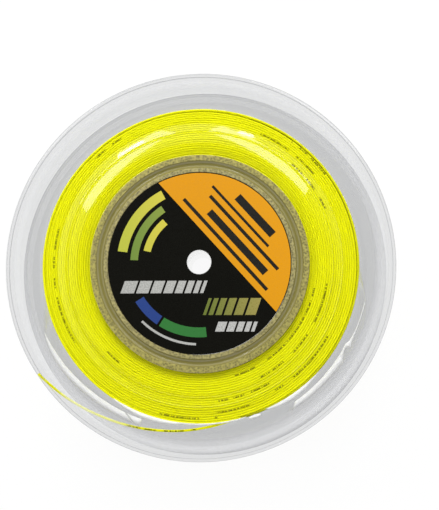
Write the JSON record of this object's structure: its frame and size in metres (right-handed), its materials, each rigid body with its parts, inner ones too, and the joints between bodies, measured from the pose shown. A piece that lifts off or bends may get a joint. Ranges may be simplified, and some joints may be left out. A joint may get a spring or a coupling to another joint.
{
  "type": "string reel",
  "caption": "Clear moulded reel wound with yellow racket string, with a round printed label in its hub, a clear strip round the turns and a loose string end.",
  "frame": {"origin": "middle of the rear rim's plane, on the axis of the bore", "axes": "+Z along the bore from the rear rim to the labelled front, +X to the right and +Y up as the label is read"},
  "size_m": [0.2, 0.2, 0.035],
  "materials": {
    "clear_plastic": "clear, polished on the flanges and grained on the hub ring",
    "label_print": "printed film label, satin",
    "string": "smooth extruded polyester, glossy",
    "clear_film": "clear film, glossy"
  },
  "bodies": {
    "root": {"front_flange": "clear_plastic", "rear_flange": "clear_plastic", "front_label": "label_print", "string_core": "string", "string_winding": "string", "string_tail": "string", "string_inner_end": "string", "retaining_strip": "clear_film"}
  },
  "joints": []
}
